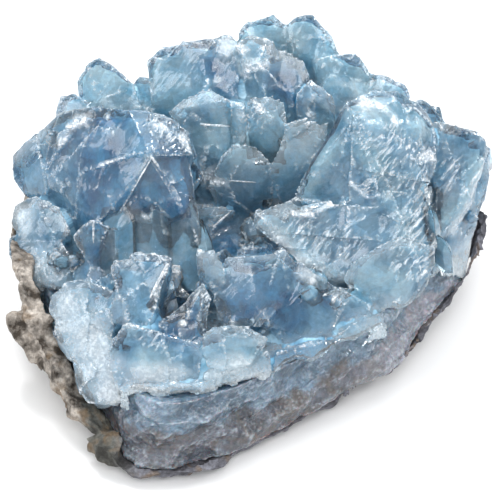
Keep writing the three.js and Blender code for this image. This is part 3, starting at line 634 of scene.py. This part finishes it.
facing = add(tree, "NewGeometry", {}, "Normal")
facing = add(tree, "VectorMath", {0: facing, 1: tilt}, operation="ADD")
facing = add(tree, "VectorMath", {0: facing}, operation="NORMALIZE")
glass = add(tree, "BsdfPrincipled", {
    "Base Color": colour, "Roughness": rough, "IOR": CELESTITE_IOR, "Transmission Weight": clear,
    "Normal": facing,
})
blue = add(tree, "VolumeAbsorption", {"Color": "#5fcbe5", "Density": CRUST_BLUE_DENSITY})
add(tree, "OutputMaterial", {"Surface": glass, "Volume": blue})
finished(crust, celestite, "celestite_crystal", "crystal_crust")

# -------------------------------------------------------------------------------------- milky cores
# Inside their clear outer layer the crystals are milky, full of tiny bubbles and healed cracks. The milk
# comes close to the surface where the crust is sugary or pale, and lies deep in the clear crystals.

CORE_VOXEL = 0.75
CLEAR_LAYER = 1.9
DEEP_LAYER = 5.0
SUGARY_LAYER = 0.5
THINNEST_LAYER = 0.4
LEAST_LAYER = 0.3
LAYER_SHARE = 0.34
CORE_CLOUD = 5.0
CORE_PLANE = 3.0
CORE_BUBBLES = 0.8
# Places where one sees deepest into the crystal, and places where its milk is palest and comes nearest. In
# the middle of the hollow, behind the pit, the milk is made paler as painted light, against the shade
# there.
DEEP = [
    ((-9, 5.3, 18.4), 4), ((-0.6, 10, 18), 3), ((-5.3, -2.2, 23.9), 4),
    ((-38.5, 11, 34.5), (-34, 13, 41), 2.6), ((-34, 13, 41), (-25, 12, 46), 2.4),
    ((6.5, 27.5, 43.8), (9.5, 23, 39), 5), ((-28, -8, 24), (-26.5, -12, 23), 4),
    ((-13.6, -9, 21.3), 5), ((-12.5, -24, 23), 4), ((13.2, -15, 24), 3), ((3, -20, 23), 3),
    ((17.4, 14, 47), (31, 14.7, 46), 1.8), ((33, 7.5, 39), (36.5, 9, 36), 3),
    ((5, -25, 18), (14, -22, 17), 4),
]
PALE = [
    ((-16, 26, 40), (-24, 28, 39), 8), ((14, 28, 42), (30, 26, 40), 8), ((20, 11, 47), (30, 11, 45), 6),
    ((12, 21, 37), 5), ((3, -3, 29), (14, -8, 22), 5), ((19, -10, 22), (26, -9, 22), 5),
    ((-7, -28, 22), (-2, -28, 22), 5), ((-20, -29, 22), (-13, -29, 21), 4), ((-30, 30, 38), 9),
    ((10, 5, 35.5), (14, 6, 42), 5), ((-7, 19, 31), (-2, 16, 32), 4), ((36, 5, 26), (43, 12, 34), 4),
    ((3, 19, 36), 5), ((20, 4, 43), (30, -4, 30), 5), ((0, 34, 45), (14, 33, 45), 8),
    # Painted light: the middle of the hollow, behind the pit, made paler against its shade.
    ((-12, 22, 36), (8, 20, 32), 8),
]

core = remeshed(start, "milky_cores", CORE_VOXEL)
points, normals = points_of(core)
layer = CLEAR_LAYER * (1 + 0.5 * swell(points, 7, 3))
layer *= 1 - 0.65 * near(points, PALE)
layer += (DEEP_LAYER - layer) * near(points, DEEP)
layer += (SUGARY_LAYER - layer) * np.maximum(near(points, SUGARY), at_foot(points))
layer = np.minimum(np.maximum(layer, THINNEST_LAYER), LAYER_SHARE * thickness(points, normals, around))
set_points(core, points - normals * layer[:, None])

# Where the cores' walls now cross, a second remesh closes them, and points that lie too near to the surface
# or outside it are moved in.
clean = core.modifiers.new("clean", "REMESH")
clean.mode = "VOXEL"
clean.voxel_size = CORE_VOXEL
applied(core)
points, _ = points_of(core)
kept = []
for point in points.tolist():
    wall, normal, _, _ = around.find_nearest(point)
    depth = (wall - Vector(point)).dot(normal)
    kept.append(point if depth > LEAST_LAYER else wall - LEAST_LAYER * normal)
points = np.array(kept)
set_points(core, points)
keep_shares(core, pale=0.5 + 0.5 * near(points, PALE) - 0.5 * near(points, BLUE))

# Milky celestite: it scatters light, so it is soft and matt under the clear layer, strong blue where the
# crystal is sound and almost white where it is full of bubbles. In the middle of the hollow it is also made
# paler as painted light, against the shade there. Its bubbles are much too fine to show, so they are drawn
# as wide as CORE_BUBBLES.
milk, tree, place = new_material("milky_celestite")
cloud = add(tree, "TexNoise", {
    "Vector": place, "Scale": 1 / CORE_CLOUD, "Detail": 6, "Roughness": 0.6, "Distortion": 0.5,
})
clouded = add(tree, "MapRange", {"Value": cloud, "From Min": 0.35, "From Max": 0.65})
pale = add(tree, "Attribute", {}, "Fac", attribute_name="pale")
blue = add(tree, "Mix", {0: clouded, 6: "#126b9c", 7: "#50a5cd"}, 2, data_type="RGBA")
white = add(tree, "Mix", {0: clouded, 6: "#8ec7df", 7: "#def0f5"}, 2, data_type="RGBA")
colour = add(tree, "Mix", {0: pale, 6: blue, 7: white}, 2, data_type="RGBA")
plane = add(tree, "TexVoronoi", {"Vector": place, "Scale": 1 / CORE_PLANE}, "Color")
plane = add(tree, "SeparateColor", {0: plane})
colour = mottled(tree, colour, plane, (0, 1), (0.8, 1.08))
bubbles = add(tree, "TexNoise", {"Vector": place, "Scale": 1 / CORE_BUBBLES, "Detail": 4, "Roughness": 0.7})
colour = mottled(tree, colour, bubbles, (0.35, 0.65), (0.82, 1.1))
soft = add(tree, "BsdfPrincipled", {"Base Color": colour, "Roughness": 0.7, "IOR": CELESTITE_IOR})
add(tree, "OutputMaterial", {"Surface": soft})
finished(core, milk, "celestite_crystal", "crystal_crust")

# -------------------------------------------------------------------------------------- last crystals
# The last crystals to grow, on the ledges and in the gaps of the crust: stubby celestite prisms with wedges
# for ends and milky hearts, from a grain of sugar to a pea in size. A few bigger ones are wedged in under
# the left mass and at the right rim, and thin blades lie along edges of the breaks. The blades are painted
# white all over, as painted highlights along those edges.

SMALL_CRYSTALS = 130
COMMON_WIDTH = 2.0
LEAST_WIDTH = 0.7
MOST_WIDTH = 4.0
MILKY_SHARE = 0.72
WEDGED_SHARE = 0.82
SIDES = 6
CORNERS = 2 * SIDES + 2
SHOULDER = 0.8
RIDGE_HALF = 0.22
BLADE_LIFT = 0.05
# Gaps that small crystals fill: a middle and a radius.
GAPS = [
    ((-9, 5, 18), 5), ((0, 10, 17), 5), ((12, -14, 23), 6), ((3, -20, 22), 5), ((-13, -9, 21), 6),
    ((-34, 16, 35), 5), ((-28, 22, 36), 5), ((24, 20, 40), 5), ((33, 18, 38), 5), ((-36, -4, 22), 4),
    ((30, 2, 27), 4),
]
# Wedged crystals and blades: a foot, a tip and a width.
WEDGED = [
    ((-25, -7, 17), (-25, 4, 34), 8), ((-18.5, -7.5, 17), (-19.5, 4, 34), 9),
    ((-12.5, -8, 17), (-13.5, 3.5, 33), 8), ((-9, -8, 17), (-10, 0, 30), 5.5),
    ((-23, -9, 17), (-23.5, -11, 26), 6), ((34, 3, 19), (33, -1, 33), 5),
    ((36, 0, 18), (35, -3, 28), 4.5),
]
BLADES = [
    ((-24, 0, 33.1), (-18.4, 1.3, 43.7), 0.5), ((-18.4, 1.3, 43.7), (-17, 1.4, 41.3), 0.5),
    ((-10, 21.1, 35.3), (-4.2, 20.9, 34.9), 0.5), ((-7.5, 10.7, 18.4), (-4.4, 12.6, 20.5), 0.5),
    ((-15.6, -17.6, 35), (-18.7, -21.6, 30), 0.6), ((-29.6, -1.4, 30.4), (-29.6, -3.3, 27), 0.4),
    ((-4.5, 15, 26.5), (0.6, 14.5, 26.5), 0.3), ((15, -13, 24), (12.5, -15, 24.5), 0.8),
]


def prisms(name, feet, tips, widths, random):
    """Prisms with six sides in one mesh, each from a foot to a tip, where it ends in a wedge."""
    count = len(feet)
    axes = tips - feet
    sides = np.cross(axes, random.normal(size=(count, 3)))
    sides *= widths / np.linalg.norm(sides, axis=1)[:, None]
    broads = np.cross(axes, sides) / np.linalg.norm(axes, axis=1)[:, None]
    broads = broads * random.uniform(0.5, 0.95, (count, 1))
    corners = []
    for highest in (0.0, SHOULDER):
        for turn in np.arange(SIDES) * 2 * np.pi / SIDES:
            shoulder = random.uniform(0.8 * highest, highest, (count, 1))
            corners.append(feet + axes * shoulder + (sides * np.cos(turn) + broads * np.sin(turn)) / 2)
    corners += [tips + sides * RIDGE_HALF, tips - sides * RIDGE_HALF]
    corners = np.clip(np.stack(corners, axis=1), BOX_LOW, BOX_HIGH)
    base = [tuple(range(SIDES))[::-1]]
    walls = [(k, (k + 1) % SIDES, SIDES + (k + 1) % SIDES, SIDES + k) for k in range(SIDES)]
    wedge = [(6, 7, 12), (7, 8, 13), (7, 13, 12), (8, 9, 13)]
    wedge += [(9, 10, 13), (10, 11, 12), (10, 12, 13), (11, 6, 12)]
    shape = base + walls + wedge
    faces = [tuple(CORNERS * k + corner for corner in face) for k in range(count) for face in shape]
    data = bpy.data.meshes.new(name)
    data.from_pydata(corners.reshape(-1, 3).tolist(), [], faces)
    thing = bpy.data.objects.new(name, data)
    bpy.context.scene.collection.objects.link(thing)
    return thing


# Small crystals are seated at random points of the crust, most of them in its gaps.
random = np.random.default_rng(11)
weight = (0.001 + near(seat_points, GAPS)) * (seat_normals[:, 2] > -0.4) * (1 - near(seat_points, SMOOTH))
weight *= np.clip(0.5 + 1.5 * swell(seat_points, 5), 0.02, 2)
chosen = random.choice(len(weight), SMALL_CRYSTALS, replace=False, p=weight / weight.sum())
axes = seat_normals[chosen] + (0, 0, 0.5) + random.uniform(-0.45, 0.45, (SMALL_CRYSTALS, 3))
axes /= np.linalg.norm(axes, axis=1)[:, None]
widths = COMMON_WIDTH * np.exp(random.normal(0, 0.45, (SMALL_CRYSTALS, 1)))
widths = np.clip(widths, LEAST_WIDTH, MOST_WIDTH)
longs = widths * random.uniform(0.9, 1.8, (SMALL_CRYSTALS, 1))
seats = seat_points[chosen]

# The wedged crystals come before the others. They are clear and smooth: small is 0 at their corners, and 1
# at those of crystals under the most width.
feet = np.array([foot for foot, _, _ in WEDGED] + list(seats - 0.6 * longs * axes))
tips = np.array([tip for _, tip, _ in WEDGED] + list(seats + 0.42 * longs * axes))
widths = np.array([[width] for _, _, width in WEDGED] + list(widths))
count = len(widths)
whole = np.ones(CORNERS)
small = np.kron(widths[:, 0] < MOST_WIDTH, whole)
crystals = prisms("celestite_small_crystals", feet, tips, widths, np.random.default_rng(5))
# Their shoulders and tips get a white ridge share: partly crushed edges, partly painted highlight.
keep_shares(
    crystals, sugary=small * np.kron(random.uniform(0, 0.4, count), whole), hackly=0.1 * small,
    ridge=small * np.tile(np.repeat([0, 0.25, 0.6], [SIDES, SIDES, 2]), count), glint=0 * small,
)
finished(crystals, celestite, "celestite_crystal", "crystal_crust")

# The hearts are made with the same seed as their crystals, so each has the turn and shape of its own.
milky = np.where(widths > MOST_WIDTH, WEDGED_SHARE, MILKY_SHARE)
inset = (1 - milky) / 2 * (tips - feet)
hearts = prisms("milky_hearts", feet + inset, tips - inset, milky * widths, np.random.default_rng(5))
keep_shares(hearts, pale=0.7 * (1 - small) + small * np.kron(random.uniform(0, 0.5, count), whole))
finished(hearts, milk, "celestite_crystal", "crystal_crust")

# Each blade's two ends are moved to the nearest points of the crust, so it lies on it.
ends = []
for foot, tip, _ in BLADES:
    for end in (foot, tip):
        nearest, normal, _, _ = around.find_nearest(end)
        ends.append(nearest + BLADE_LIFT * normal)
ends = np.array(ends)
widths = np.array([[width] for _, _, width in BLADES])
blades = prisms("celestite_blades", ends[::2], ends[1::2], widths, random)
whole = np.ones(CORNERS * len(BLADES))
# Painted highlight: the blades are made white all over.
keep_shares(blades, sugary=whole, hackly=0.3 * whole, ridge=whole, glint=0.9 * whole)
finished(blades, celestite, "celestite_crystal", "crystal_crust")

# ------------------------------------------------------------------------------ table, light and camera
# A pale matt table under five square soft lamps: a broad one behind the piece and one in front of it, a
# small key lamp above it, and one at each side. The camera looks down on the piece from the front.

TABLE_SIZE = 4.0
PIECE_MIDDLE = Vector((0, 0, 0.02))
SKY_STRENGTH = 0.79
LOOKS_DOWN = 42.0
LOOKED_AT = (-0.0006, -0.00197, 0.02394)
CAMERA_AWAY = 0.6185
FIELD_WIDTH = 0.09328
SENSOR = 36.0

# Matt white paint: without gloss, so that only soft shadows show on it.
bpy.ops.mesh.primitive_plane_add(size=TABLE_SIZE)
floor = bpy.context.object
floor.name = "table"
paint, tree, place = new_material("matt_white_table")
white = add(tree, "BsdfPrincipled", {"Base Color": "#ececec", "Roughness": 0.9})
add(tree, "OutputMaterial", {"Surface": white})
floor.data.materials.append(paint)


def soft_light(name, place, size, power):
    """A square soft lamp of a size in metres and a power in watts that faces the piece."""
    light = bpy.data.lights.new(name, "AREA")
    light.size = size
    light.energy = power
    thing = bpy.data.objects.new(name, light)
    thing.location = place
    thing.rotation_euler = (PIECE_MIDDLE - Vector(place)).to_track_quat("-Z", "Y").to_euler()
    bpy.context.scene.collection.objects.link(thing)


soft_light("broad", (0.08, 0.2, 0.5), 0.55, 1.7)
soft_light("front", (0.05, -0.45, 0.55), 0.4, 2.3)
soft_light("key", (-0.1, 0.15, 0.5), 0.1, 0.9)
soft_light("left", (-0.5, -0.2, 0.35), 0.3, 1.0)
soft_light("right", (0.45, 0.1, 0.3), 0.1, 0.7)

world = bpy.data.worlds.new("studio")
bpy.context.scene.world = world
world.use_nodes = True
world.node_tree.nodes["Background"].inputs["Color"].default_value = linear("#f4f7fa")
world.node_tree.nodes["Background"].inputs["Strength"].default_value = SKY_STRENGTH

camera = bpy.data.objects.new("camera", bpy.data.cameras.new("camera"))
bpy.context.scene.collection.objects.link(camera)
camera.data.sensor_width = SENSOR
camera.data.lens = SENSOR * CAMERA_AWAY / FIELD_WIDTH
down = np.radians(LOOKS_DOWN)
camera.location = Vector(LOOKED_AT) + CAMERA_AWAY * Vector((0, -np.cos(down), np.sin(down)))
camera.rotation_euler = (np.radians(90 - LOOKS_DOWN), 0, 0)
bpy.context.scene.camera = camera
bpy.context.scene.view_settings.view_transform = "Standard"
